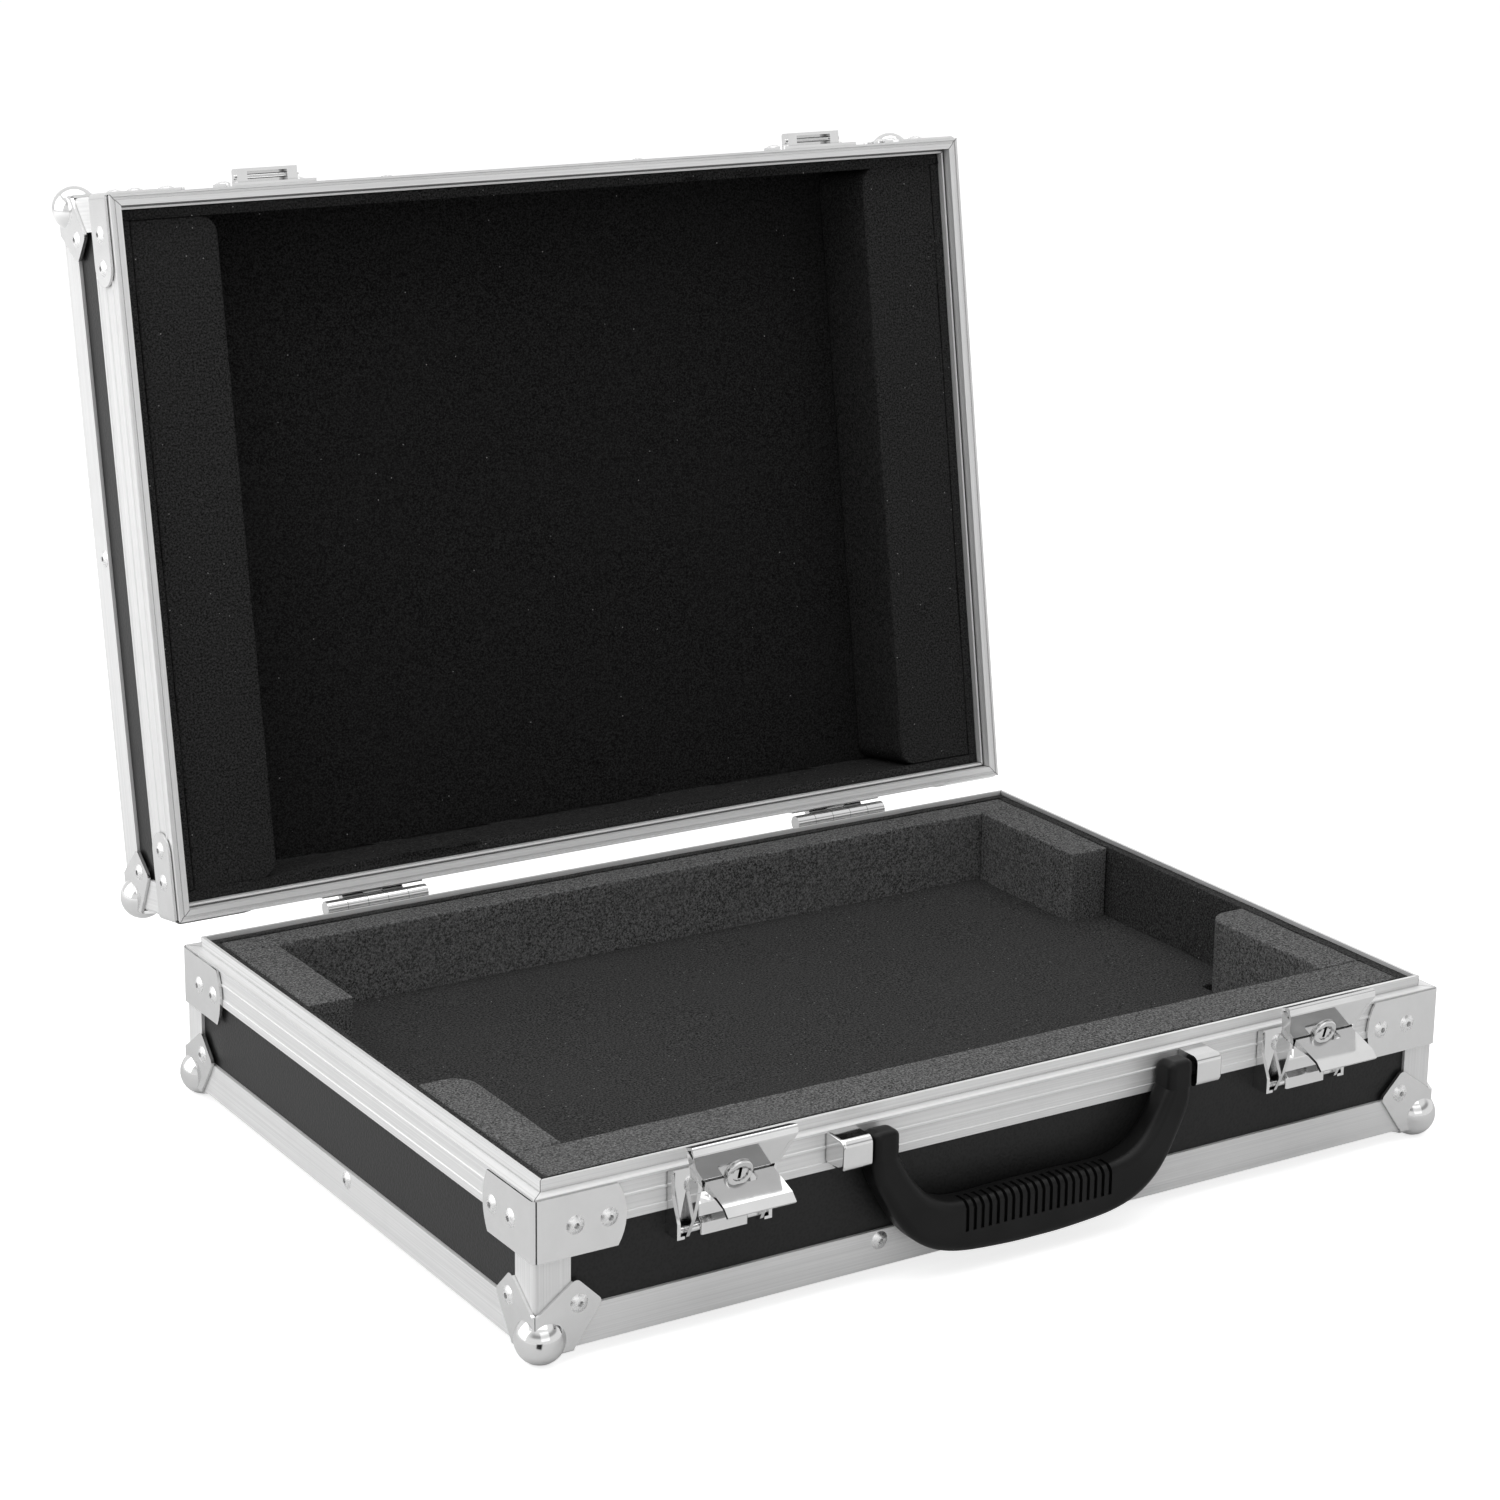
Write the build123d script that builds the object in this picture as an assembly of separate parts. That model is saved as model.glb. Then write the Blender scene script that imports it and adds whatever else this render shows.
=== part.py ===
from build123d import *
import math
import os

# A hard case for a laptop, standing open. Millimetres, +Z up. The front wall faces -Y.
# x = 0 and y = 0 are the middle of the base, z = 0 is the bare underside of the bottom
# panel. The lid is drawn closed and then swung open about its hinges.

# The whole case
WIDTH = 440.0
DEPTH = 316.0
SOLE = -1.0  # underside of the bottom angles
MATING = 61.8  # flat top of the base rim
LID_GAP = 0.2  # between the two rims when shut
LID_TOP = 119.0  # outer face of the lid angles, lid shut
OPENING = 99.4  # how far the lid leans back, in degrees
HINGE_Y = 164.0
HINGE_Z = 64.0

# Walls: laminate panels held in aluminium extrusions
PANEL = 4.0
INSET = 1.5  # the panels lie this far behind the outer faces
ANGLE = 1.5  # thickness of the angle extrusions
BOTTOM_LEG = 15.6
LID_LEG = 14.7
CORNER_LEG = 15.2
RIM_HEIGHT = 16.3
LID_RIM_HEIGHT = 23.6

# Foam
FOAM = 11.3  # inner face of the foam linings, from the outer face
FOAM_TOP = 64.5
PAD_TOP = 31.0
NEST_X = 187.5
NEST_FRONT = -121.0
NEST_BACK = 132.0
PORT_FRONT = -42.0
PORT_BACK = 58.0
LID_FOAM_FRONT = 69.8
LID_FOAM_BACK = 109.5
LID_BLOCK_X = 168.5

# Fittings
BRACE = 1.2
FOOT = 1.4
BALL_R = 10.0
BALL_WALL = 1.2
BALL_IN = 4.5  # centre of the ball, inside the three outer faces
HEAD_R = 3.8
HEAD_RISE = 1.3
SHANK_R = 1.6
EYE_R = 1.15
LATCH_X = 142.5
HINGE_X = 125.0
LEAN = 17.1  # of an undone latch hook, in degrees
LEVER_OPEN = 87.0
RUNNING = 0.05  # radial clearance of everything that turns

FRONT = -DEPTH / 2
INSIDE = INSET + PANEL
LID_MATING = MATING + LID_GAP
LID_PANEL_Z = LID_TOP - ANGLE - PANEL

WALLS = {
    "front": (Location((0, -DEPTH / 2, 0), (0, 0, 0)), WIDTH / 2),
    "right": (Location((WIDTH / 2, 0, 0), (0, 0, 90)), DEPTH / 2),
    "back": (Location((0, DEPTH / 2, 0), (0, 0, 180)), WIDTH / 2),
    "left": (Location((-WIDTH / 2, 0, 0), (0, 0, 270)), DEPTH / 2),
}
CORNERS = [
    Location((-WIDTH / 2, -DEPTH / 2, 0), (0, 0, 0)),
    Location((WIDTH / 2, -DEPTH / 2, 0), (0, 0, 90)),
    Location((WIDTH / 2, DEPTH / 2, 0), (0, 0, 180)),
    Location((-WIDTH / 2, DEPTH / 2, 0), (0, 0, 270)),
]


def block(x0, x1, y0, y1, z0, z1):
    """A rectangular block between two opposite corners."""
    centre = Pos((x0 + x1) / 2, (y0 + y1) / 2, (z0 + z1) / 2)
    return centre * Box(x1 - x0, y1 - y0, z1 - z0)


def tray(inset, z0, z1):
    """A block as large as the case, less an inset on all four sides."""
    half_x = WIDTH / 2 - inset
    half_y = DEPTH / 2 - inset
    return block(-half_x, half_x, -half_y, half_y, z0, z1)


def prism(plane, points, length):
    """A straight bar whose end has the given outline."""
    return extrude(plane * Polygon(*points, align=None), length, dir=plane.z_dir)


def across(points, x0, x1):
    """A bar along the front wall from x0 to x1, its outline given as (outward, height)."""
    plane = Plane(origin=(x1, FRONT, 0), x_dir=(0, -1, 0), z_dir=(-1, 0, 0))
    return prism(plane, points, x1 - x0)


def rod(x0, x1, outward, height, radius):
    """A round rod lying along the front wall."""
    middle = Location(((x0 + x1) / 2, FRONT - outward, height), (0, 90, 0))
    return middle * Cylinder(radius, x1 - x0)


def mirrored(piece):
    """The same piece on the other side of the middle plane."""
    return mirror(piece, about=Plane.YZ)


def turned(piece, outward, height, angle):
    """A piece swung about a line along the front wall, positive leaning outward."""
    there = Pos(0, FRONT - outward, height)
    back = Pos(0, outward - FRONT, -height)
    return there * Rot(angle, 0, 0) * back * piece


def opened(piece):
    """A piece of the lid, drawn shut, swung open about the hinges."""
    there = Pos(0, HINGE_Y, HINGE_Z)
    back = Pos(0, -HINGE_Y, -HINGE_Z)
    return there * Rot(-OPENING, 0, 0) * back * piece


# Rivets ---------------------------------------------------------------------------------


def rivet(place, grip):
    """A blind rivet: domed head, hollow middle, shank through everything it holds."""
    dome_r = (HEAD_R**2 + HEAD_RISE**2) / (2 * HEAD_RISE)
    dome = Pos(0, 0, HEAD_RISE - dome_r) * Sphere(dome_r)
    head = dome & block(-5, 5, -5, 5, 0, 2)
    shank = Pos(0, 0, -grip / 2) * Cylinder(SHANK_R, grip)
    eye = Pos(0, 0, HEAD_RISE) * Cylinder(EYE_R, 3.2)
    return place * (head + shank - eye)


def pierced(piece, rivets):
    """Open the rivet holes that pass through a piece."""
    holes = [place * Pos(0, 0, -grip / 2) * Cylinder(SHANK_R, grip) for place, grip in rivets]
    return piece - holes


def on_wall(side, along, height, out):
    """A place on a wall, its own z pointing outward, raised by what lies under the head."""
    frame, _ = WALLS[side]
    return (frame * Location((along, -out, height), (90, 0, 0)), out + INSIDE)


def brace_rivets(height):
    """Two rivets on each leg of the braces at the four corners."""
    places = []
    for corner in CORNERS:
        for reach in (16.5, 31.0):
            one = corner * Location((reach, -BRACE, height), (90, 0, 0))
            other = corner * Location((-BRACE, reach, height), (0, -90, 0))
            places += [(one, BRACE + INSIDE), (other, BRACE + INSIDE)]
    return places


def foot_rivets(height, flat, upward):
    """One rivet on each of the three feet of the ball corners."""
    places = []
    for corner in CORNERS:
        one = corner * Location((18, -FOOT, height), (90, 0, 0))
        other = corner * Location((-FOOT, 18, height), (0, -90, 0))
        turn = 0 if upward else 180
        third = corner * Location((18, 18, flat), (turn, 0, 0))
        depth = abs(flat - (LID_PANEL_Z if upward else PANEL))
        places += [(one, FOOT + INSIDE), (other, FOOT + INSIDE), (third, depth)]
    return places


def pair(side, centre, spread, height, out):
    """Rivets side by side on a fitting."""
    return [on_wall(side, centre + dx, height, out) for dx in (-spread, spread)]


def edge_rivets(height):
    """Rivets along the angle extrusions: two on the long walls, one on the short ones."""
    places = []
    for side in ("front", "back"):
        places += pair(side, 0, 66.5, height, 0)
    for side in ("left", "right"):
        places.append(on_wall(side, 0, height, 0))
    return places


def base_rivets():
    """Every rivet of the base."""
    places = brace_rivets(48.7) + foot_rivets(SOLE + 18, SOLE - FOOT, False)
    places += edge_rivets(10.2)
    for x in (-LATCH_X, LATCH_X):
        places += pair("front", x, 11.0, 54.5, 1.5)
    for x in (-HINGE_X, HINGE_X):
        places += pair("back", x, 18.5, 51.5, 1.5)
    return places


def lid_rivets():
    """Every rivet of the lid, lid shut."""
    places = brace_rivets(74.0) + foot_rivets(LID_TOP - 18, LID_TOP + FOOT, True)
    places += edge_rivets(LID_TOP - 10.8)
    for x in (-LATCH_X, LATCH_X):
        places += pair("front", x, 17.7, 79.0, 1.5)
    for x in (-HINGE_X, HINGE_X):
        places += pair("back", x, 18.5, 74.5, 1.5)
    return places


# Extrusions and panels ------------------------------------------------------------------


def mitred(points, side):
    """An extrusion along a wall, outline in (depth, height), both ends cut at 45 degrees."""
    frame, half = WALLS[side]
    bar = prism(Plane.YZ.offset(-half), points, 2 * half)
    ends = [(-half, 0), (half, 0), (half - 20, 20), (20 - half, 20)]
    keep = prism(Plane.XY.offset(SOLE - 1), ends, 130)
    return frame * (bar & keep)


def base_rim(side):
    """Rim of the base: ribbed outer face, flat ledge, upstanding tongue, panel slot."""
    top = MATING
    low = MATING - RIM_HEIGHT
    outside = [(0, low), (0, top - 13.2), (0.35, top - 12.85), (0.35, top - 7.55), (0, top - 7.2)]
    outside += [(0, top - 6.4), (0.35, top - 6.05), (0.35, top - 1.35), (0, top - 1.0), (0, top)]
    tongue = [(5.2, top), (5.2, top + 4.4), (6.6, top + 4.4), (6.6, top - 13.3), (5.5, top - 13.3)]
    slot = [(5.5, top - 2), (1.5, top - 2), (1.5, low)]
    return mitred(outside + tongue + slot, side)


def lid_rim(side):
    """Rim of the lid: face with a shallow recess, groove for the tongue, panel slot."""
    low = LID_MATING
    high = LID_MATING + LID_RIM_HEIGHT
    face = [(0, low), (1.0, low), (1.2, low + 0.6), (2.3, low + 0.6), (2.5, low), (4.9, low)]
    groove = [(4.9, low + 6), (5.8, low + 6), (5.8, low + 4.6), (6.7, low + 4.6)]
    slot = [(6.7, low + 21), (5.5, low + 21), (5.5, low + 7.5), (1.5, low + 7.5), (1.5, high)]
    outside = [(0, high), (0, low + 22.4), (0.35, low + 22.05), (0.35, low + 14.75), (0, low + 14.4)]
    outside += [(0, low + 13.6), (0.35, low + 13.25), (0.35, low + 7.35), (0, low + 7), (0, low + 6)]
    outside += [(0.35, low + 5.65), (0.35, low + 1.35), (0, low + 1)]
    hollow = [(1.5, low + 1.3), (3.6, low + 1.3), (3.6, low + 6.3), (1.5, low + 6.3)]
    return mitred(face + groove + slot + outside, side) - mitred(hollow, side)


def bottom_angle(side):
    """Angle extrusion along a bottom edge of the base."""
    flat = SOLE + ANGLE
    points = [(0, SOLE), (BOTTOM_LEG, SOLE), (BOTTOM_LEG, flat), (ANGLE, flat)]
    return mitred(points + [(ANGLE, SOLE + BOTTOM_LEG), (0, SOLE + BOTTOM_LEG)], side)


def lid_angle(side):
    """Angle extrusion along a top edge of the lid."""
    flat = LID_TOP - ANGLE
    points = [(0, LID_TOP - LID_LEG), (ANGLE, LID_TOP - LID_LEG), (ANGLE, flat)]
    return mitred(points + [(LID_LEG, flat), (LID_LEG, LID_TOP), (0, LID_TOP)], side)


def folded(leg, thick, fold, z0, z1, bulge=0.0, out=0.0):
    """An L of sheet round an upright corner, its leg ends bulging by an arc."""
    sheet = block(-out, leg + bulge, -out, thick - out, z0, z1)
    sheet += block(-out, thick - out, -out, leg + bulge, z0, z1)
    upright = sheet.edges().filter_by(Axis.Z)
    sheet = fillet(upright.sort_by_distance(Vertex(-out, -out, (z0 + z1) / 2))[0], fold)
    if bulge == 0:
        return sheet
    half = (z1 - z0) / 2
    radius = (half**2 + bulge**2) / (2 * bulge)
    centre = leg + bulge - radius
    end = Pos(centre, 0, z0 + half) * Rot(90, 0, 0) * Cylinder(radius, 8 * thick)
    other = Pos(0, centre, z0 + half) * Rot(0, 90, 0) * Cylinder(radius, 8 * thick)
    near = block(-5, centre, -5, centre, z0, z1)
    return sheet & (end + other + near)


def corner_angle(corner, z0, z1):
    """Upright angle between a rim and the ball corner."""
    return corner * folded(CORNER_LEG, ANGLE, 2.0, z0, z1)


def corner_brace(corner, z0, z1, leg, bulge):
    """Folded chrome brace over a corner of a rim."""
    return corner * folded(leg, BRACE, 2.8, z0, z1, bulge, out=BRACE)


def foot_plate():
    """One foot of a ball corner, lying in the plane z = 0 and pointing away from the ball."""
    outline = Polygon((0, 0), (16, 0), (28.2, 17), (17, 28.2), (0, 16), align=None)
    tips = outline.vertices().sort_by(lambda v: v.X + v.Y)[-2:]
    return extrude(fillet(tips, 2.5), FOOT, dir=(0, 0, -1))


def ball(radius):
    """The ball of a corner, with the small flat it stands on."""
    lowest = BALL_IN - radius + 0.1
    centre = Pos(BALL_IN, BALL_IN, BALL_IN)
    return centre * Sphere(radius) & block(-20, 40, -20, 40, lowest, 40)


def ball_corner():
    """A pressed corner: hollow ball and three feet, round the corner of a box at the origin."""
    flat = foot_plate()
    feet = flat + Rot(90, 0, 0) * mirror(flat, about=Plane.XY)
    feet += Rot(0, -90, 0) * mirror(flat, about=Plane.XY)
    for turn in ((0, 90, 0), (90, 0, 0), (0, 0, 0)):
        feet += Rot(*turn) * Cylinder(FOOT, 32)
    feet = feet & block(-FOOT, 40, -FOOT, 40, -FOOT, 40)
    shell = feet + ball(BALL_R) - ball(BALL_R - BALL_WALL)
    return shell - block(0, 60, 0, 60, 0, 60)


def base_shell(parts, rivets):
    """Panels and extrusions of the base."""
    half_x = WIDTH / 2 - INSET
    half_y = DEPTH / 2 - INSET
    top = MATING - 2
    bottom = tray(INSET, SOLE + ANGLE, PANEL)
    reach_x = WIDTH / 2 - BOTTOM_LEG
    reach_y = DEPTH / 2 - BOTTOM_LEG
    cut = 15.5  # the bare face stops short of the feet of the ball corners
    outline = [(reach_x - cut, -reach_y), (reach_x, cut - reach_y)]
    outline += [(reach_x, reach_y - cut), (reach_x - cut, reach_y)]
    outline += [(cut - reach_x, reach_y), (-reach_x, reach_y - cut)]
    outline += [(-reach_x, cut - reach_y), (cut - reach_x, -reach_y)]
    bottom += prism(Plane.XY, outline, PANEL)
    parts["base_bottom_panel"] = pierced(bottom, rivets)
    front = block(-half_x, half_x, -half_y, PANEL - half_y, PANEL, top)
    side = block(half_x - PANEL, half_x, PANEL - half_y, half_y - PANEL, PANEL, top)
    parts["base_front_panel"] = pierced(front, rivets)
    parts["base_back_panel"] = pierced(mirror(front, about=Plane.XZ), rivets)
    parts["base_right_panel"] = pierced(side, rivets)
    parts["base_left_panel"] = pierced(mirrored(side), rivets)
    for name in WALLS:
        parts[f"base_{name}_rim"] = pierced(base_rim(name), rivets)
    angles = [pierced(bottom_angle(name), rivets) for name in WALLS]
    parts["base_bottom_angles"] = angles
    span = (SOLE + BOTTOM_LEG, MATING - RIM_HEIGHT)
    parts["base_corner_angles"] = [pierced(corner_angle(c, *span), rivets) for c in CORNERS]


def base_fittings(parts, rivets):
    """Braces, ball corners and rivets of the base."""
    braces = [corner_brace(c, 36.3, 61.3, 34.8, 3.6) for c in CORNERS]
    parts["base_corner_braces"] = [pierced(brace, rivets) for brace in braces]
    balls = [c * Pos(0, 0, SOLE) * ball_corner() for c in CORNERS]
    parts["base_ball_corners"] = [pierced(ball, rivets) for ball in balls]
    parts["base_rivets"] = [rivet(place, grip) for place, grip in rivets]


def lid_shell(parts, rivets):
    """Panels and extrusions of the lid, lid shut."""
    half_x = WIDTH / 2 - INSET
    half_y = DEPTH / 2 - INSET
    low = LID_MATING + 7.5
    parts["lid_top_panel"] = pierced(tray(INSET, LID_PANEL_Z, LID_PANEL_Z + PANEL), rivets)
    front = block(-half_x, half_x, -half_y, PANEL - half_y, low, LID_PANEL_Z)
    side = block(half_x - PANEL, half_x, PANEL - half_y, half_y - PANEL, low, LID_PANEL_Z)
    parts["lid_front_panel"] = pierced(front, rivets)
    parts["lid_back_panel"] = pierced(mirror(front, about=Plane.XZ), rivets)
    parts["lid_right_panel"] = pierced(side, rivets)
    parts["lid_left_panel"] = pierced(mirrored(side), rivets)
    for name in WALLS:
        parts[f"lid_{name}_rim"] = pierced(lid_rim(name), rivets)
    parts["lid_top_angles"] = [pierced(lid_angle(name), rivets) for name in WALLS]
    span = (LID_MATING + LID_RIM_HEIGHT, LID_TOP - LID_LEG)
    parts["lid_corner_angles"] = [pierced(corner_angle(c, *span), rivets) for c in CORNERS]


def lid_fittings(parts, rivets):
    """Braces, ball corners, keepers and rivets of the lid, lid shut."""
    braces = [corner_brace(c, 65.0, 83.0, 30.0, 9.0) for c in CORNERS]
    parts["lid_corner_braces"] = [pierced(brace, rivets) for brace in braces]
    ball = mirror(ball_corner(), about=Plane.XY)
    balls = [c * Pos(0, 0, LID_TOP) * ball for c in CORNERS]
    parts["lid_ball_corners"] = [pierced(ball, rivets) for ball in balls]
    keepers = [pierced(Pos(x, 0, 0) * keeper(), rivets) for x in (-LATCH_X, LATCH_X)]
    parts["lid_keepers"] = keepers
    parts["lid_rivets"] = [rivet(place, grip) for place, grip in rivets]


# Foam -----------------------------------------------------------------------------------


def lining(side, z0, z1, notch_depth, notch_z0, notch_z1):
    """A foam strip inside one wall, notched where the rim's inner leg lies on the panel."""
    frame, half = WALLS[side]
    end = INSIDE if half == WIDTH / 2 else FOAM
    strip = block(end - half, half - end, INSIDE, FOAM, z0, z1)
    strip -= block(-half, half, INSIDE, notch_depth, notch_z0, notch_z1)
    if end == INSIDE:
        for cut in ((-half, notch_depth - half), (half - notch_depth, half)):
            strip -= block(*cut, INSIDE, FOAM, notch_z0, notch_z1)
    return frame * strip


def base_foam(parts):
    """Foam of the base: linings, pad under the laptop, and the pieces round it."""
    leg = MATING - 13.3
    parts["base_foam_lining"] = [lining(s, PANEL, FOAM_TOP, 6.6, leg, FOAM_TOP) for s in WALLS]
    edge_x = WIDTH / 2 - FOAM
    edge_y = DEPTH / 2 - FOAM
    pad = block(-NEST_X, NEST_X, NEST_FRONT, NEST_BACK, PANEL, PAD_TOP)
    pad += block(-edge_x, edge_x, PORT_FRONT, PORT_BACK, PANEL, PAD_TOP)
    parts["base_bottom_pad"] = pad
    parts["base_front_strip"] = block(-edge_x, edge_x, -edge_y, NEST_FRONT, PANEL, FOAM_TOP)
    parts["base_rear_strip"] = block(-edge_x, edge_x, NEST_BACK, edge_y, PANEL, FOAM_TOP)
    front = block(NEST_X, edge_x, NEST_FRONT, PORT_FRONT, PANEL, FOAM_TOP)
    inner = front.edges().filter_by(Axis.Z).sort_by_distance(Vertex(NEST_X, PORT_FRONT, PANEL))[0]
    front = fillet(inner, 10)
    rear = block(NEST_X, edge_x, PORT_BACK, NEST_BACK, PANEL, FOAM_TOP)
    parts["base_left_front_block"] = mirrored(front)
    parts["base_right_front_block"] = front
    parts["base_left_rear_block"] = mirrored(rear)
    parts["base_right_rear_block"] = rear


def lid_foam(parts):
    """Foam of the lid, lid shut."""
    low = LID_FOAM_FRONT
    leg = LID_MATING + 21
    parts["lid_foam_lining"] = [lining(s, low, LID_FOAM_BACK, 6.7, low, leg) for s in WALLS]
    parts["lid_back_lining"] = tray(INSIDE, LID_FOAM_BACK, LID_PANEL_Z)
    edge_y = DEPTH / 2 - FOAM
    side = block(LID_BLOCK_X, WIDTH / 2 - FOAM, -edge_y, edge_y, low, LID_FOAM_BACK)
    inner = side.edges().filter_by(Axis.Z).group_by(Axis.X)[0]
    side = fillet(inner, 8)
    parts["lid_right_block"] = side
    parts["lid_left_block"] = mirrored(side)


# Handle ---------------------------------------------------------------------------------

HANDLE_OUT = 6.8
HANDLE_Z = 55.3


def handle_bracket():
    """Chrome block on the rim that holds one end of the handle; bored from its inner end."""
    body = block(79.5, 92.5, FRONT - 12.8, FRONT, 48.6, 61.6)
    front = body.edges().filter_by(Axis.X).group_by(Axis.Y)[0]
    body = fillet(front, 3.0)
    end = body.faces().sort_by(Axis.X)[-1]
    body = fillet(end.edges().filter_by(lambda e: e.center().Y < FRONT - 0.1), 1.2)
    return body - rod(79.0, 90.0, HANDLE_OUT, HANDLE_Z, 3.0 + RUNNING)


# From the arm down to the middle of the grip: x, height, turn from straight down, width,
# thickness and distance of the middle from the wall
BOW = (
    (72.0, 50.0, 0.0, 12.0, 12.4, 6.8),
    (68.3, 40.0, 27.0, 14.3, 12.8, 7.2),
    (61.2, 28.7, 39.0, 15.7, 13.3, 7.8),
    (52.5, 20.0, 58.0, 18.5, 13.6, 8.2),
    (38.8, 14.7, 79.0, 21.0, 13.7, 8.3),
    (20.0, 13.5, 88.0, 23.0, 13.7, 8.3),
    (0.0, 13.3, 90.0, 23.7, 13.7, 8.3),
)


def bow_section(x, height, turn, width, thick, out):
    """Rounded cross section of the handle at one place along its bow."""
    angle = math.radians(turn)
    along = (-math.sin(angle), 0, -math.cos(angle))
    outer = (math.cos(angle), 0, -math.sin(angle))
    plane = Plane(origin=(x, FRONT - out, height), x_dir=outer, z_dir=along)
    return plane * RectangleRounded(width, thick, 3.8)


def handle_arm():
    """Upper end of a handle arm, rounded about the pivot so it turns clear of the wall."""
    top = HANDLE_Z + 6.2
    back = Line((0.6, 50), (0.6, HANDLE_Z))
    heel = RadiusArc((0.6, HANDLE_Z), (HANDLE_OUT, top), 6.2)
    crown = Line((HANDLE_OUT, top), (10.4, top))
    nose = RadiusArc((10.4, top), (13.0, top - 2.6), 2.6)
    front = Line((13.0, top - 2.6), (13.0, 50))
    foot = Line((13.0, 50), (0.6, 50))
    plane = Plane(origin=(78, FRONT, 0), x_dir=(0, -1, 0), z_dir=(-1, 0, 0))
    arm = extrude(plane * make_face([back, heel, crown, nose, front, foot]), 12, dir=(-1, 0, 0))
    sides = arm.edges().filter_by(lambda e: abs(abs(e.center().X - 72) - 6) < 0.1)
    arm = fillet(sides.filter_by(lambda e: e.center().Z > 50.1), 3.0)
    return arm + rod(77.0, 88.5, HANDLE_OUT, HANDLE_Z, 3.0)


def handle():
    """Moulded carrying handle, hanging straight down, with a ribbed grip."""
    right = [bow_section(*place) for place in BOW]
    left = [bow_section(-x, z, 180 - turn, w, t, out) for x, z, turn, w, t, out in BOW[-2::-1]]
    body = loft(right + left)
    for number in range(20):
        body -= rib_groove((number - 9.5) * 3.7)
    return body + handle_arm() + mirrored(handle_arm())


def rib_groove(x):
    """One groove between two ribs, over the front and the finger side of the grip."""
    outline = [(7, 24.1), (7, 28), (17, 28), (17, 12.5), (13.6, 12.5), (13.6, 21.3), (10.8, 24.1)]
    return across(outline, x - 0.8, x + 0.8)


# Latches --------------------------------------------------------------------------------

PIVOT_OUT = 5.0
PIVOT_Z = 38.0
LEVER_OUT = PIVOT_OUT + 2.6
LEVER_Z = PIVOT_Z + 24.6
LOCK_Z = PIVOT_Z + 26.8
LOCK_RIM = 5.7


def latch_base():
    """Base plate of a latch: cheeks for the pivot, hump over the pin, strike for the lock."""
    step = MATING - RIM_HEIGHT
    plate = [(-INSET, 35.4), (1.5, 35.4), (1.5, 61), (0, 61), (0, step), (-INSET, step)]
    base = across(plate, -21, 21)
    cheek = [(1.5, 35.4), (7.5, 35.4), (7.5, 42), (3.2, 52), (3.2, 61), (1.5, 61)]
    base += across(cheek, -21, -19.5) + across(cheek, 19.5, 21)
    sill = across([(1.5, 35.4), (7.5, 35.4), (7.5, 36.6), (1.5, 36.6)], 17.6, 19.5)
    base += sill + mirrored(sill)
    outline = [(1.5, 35.4), (7.6, 35.4), (7.6, 40.2), (5.5, 42.2), (5.3, 47), (1.5, 50)]
    hump = across(outline, -10.5, 10.5)
    ends = hump.edges().filter_by(lambda e: abs(abs(e.center().X) - 10.5) < 0.01)
    ends = ends.filter_by(lambda e: e.center().Y < FRONT - 1.6 and e.center().Z > 36)
    base += fillet(ends, 1.2)
    base += across([(3.7, 42), (4.9, 42), (4.9, 57), (3.7, 57)], -5, 5)
    return base - rod(-25, 25, PIVOT_OUT, PIVOT_Z, 1.5)


def latch_pin():
    """Pivot pin of a latch hook."""
    return rod(-21, 21, PIVOT_OUT, PIVOT_Z, 1.5)


def upright(points):
    """An outline in (outward from the pivot, height above the pivot), put on the case."""
    return [(PIVOT_OUT + n, PIVOT_Z + s) for n, s in points]


def hook_plate():
    """Front of the hook, leaning up to a ridge and curled back over it; flared to the ridge."""
    section = [(4.0, 26.7), (5.4, 40.2), (3.6, 43.4), (-1.2, 39.9), (-0.5, 38.9), (3.1, 41.6)]
    section += [(4.1, 39.9), (2.8, 26.7)]
    plate = across(upright(section), -23, 23)
    along = plate.edges().filter_by(Axis.X)
    plate = fillet([along.sort_by(Axis.Y)[0], along.sort_by(Axis.Z)[-1]], 1.2)
    sides = [(-17.1, 24), (17.1, 24), (23, 41), (23, 44), (-23, 44), (-23, 41)]
    return plate & facing(sides)


def facing(points):
    """A deep block whose outline is seen from the front, in (x, height above the pivot)."""
    plane = Plane(origin=(0, FRONT, 0), x_dir=(1, 0, 0), z_dir=(0, -1, 0))
    return prism(plane, [(x, PIVOT_Z + s) for x, s in points], 20)


def hook_arm():
    """Side wall of the hook: an arm with an eye round the pivot pin, flared to the ridge."""
    arm = across(upright([(-3.0, 0), (3.0, 0), (4.6, 9), (4.6, 21), (-3.0, 21)]), 15.6, 17.1)
    arm += rod(15.6, 17.1, PIVOT_OUT, PIVOT_Z, 3.0)
    side_on = [(-3.0, 20), (4.6, 20), (4.0, 26.7), (5.1, 37), (-1.0, 39), (-1.0, 30)]
    flare = [(15.6, 20), (17.1, 20), (17.1, 24), (21.9, 38), (21.9, 39), (20.4, 39), (15.6, 24.6)]
    return arm + (across(upright(side_on), 10, 23) & facing(flare))


def latch_hook():
    """Latch hook standing upright over its pivot, as it does when fastened."""
    hook = hook_plate() + hook_arm() + mirrored(hook_arm())
    lock = Location((0, FRONT - PIVOT_OUT - 3.4, LOCK_Z), (90, 0, 0))
    hook += lock * Cylinder(6.0, 1.2)
    hook -= lock * Cylinder(4.5, 12)
    hook -= lock_round(LOCK_RIM, 4.0, 8.0)
    hook -= rod(-20, 20, PIVOT_OUT, PIVOT_Z, 1.5 + RUNNING)
    hook -= rod(-20, -13, LEVER_OUT, LEVER_Z, 0.8) + rod(13, 20, LEVER_OUT, LEVER_Z, 0.8)
    return hook


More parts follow.
